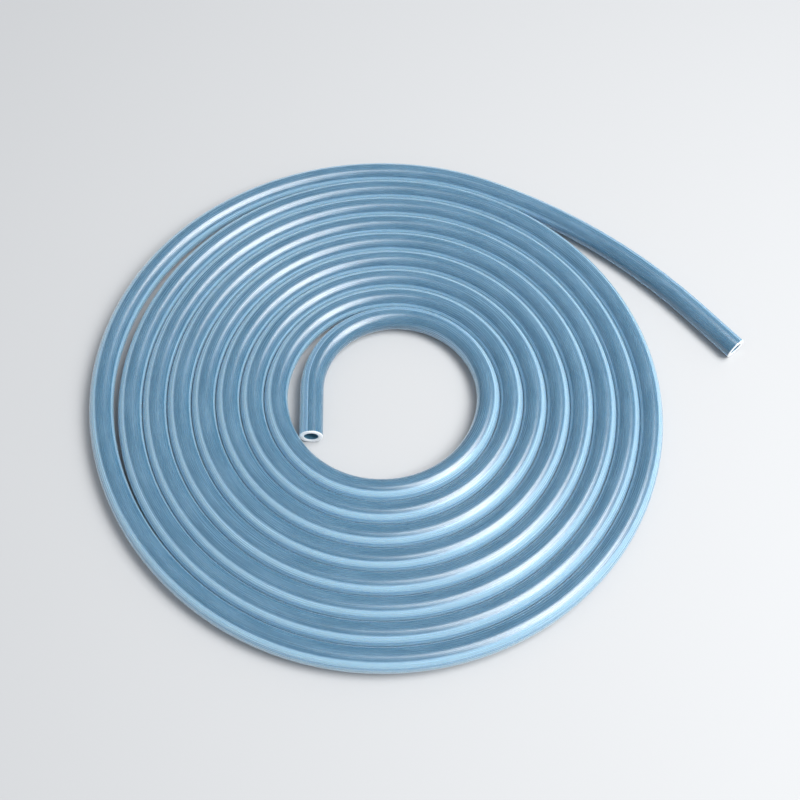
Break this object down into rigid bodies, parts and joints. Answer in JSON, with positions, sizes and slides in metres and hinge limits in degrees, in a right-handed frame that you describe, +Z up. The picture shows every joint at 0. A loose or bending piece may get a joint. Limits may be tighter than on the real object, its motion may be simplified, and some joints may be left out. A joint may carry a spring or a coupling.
{
  "type": "silicone tubing coil",
  "caption": "Flat spiral coil of soft translucent silicone tubing with plain cut ends, lying on its side.",
  "frame": {"origin": "middle of the coil's eye, in the plane that the coil lies on", "axes": "+Z up, square to the coil; +X towards the side on which the outer end runs off, along the longest extent"},
  "size_m": [0.2798, 0.2473, 0.01],
  "materials": {
    "silicone": "smooth, translucent, milky blue"
  },
  "bodies": {
    "root": {"silicone_tube": "silicone"}
  },
  "joints": []
}
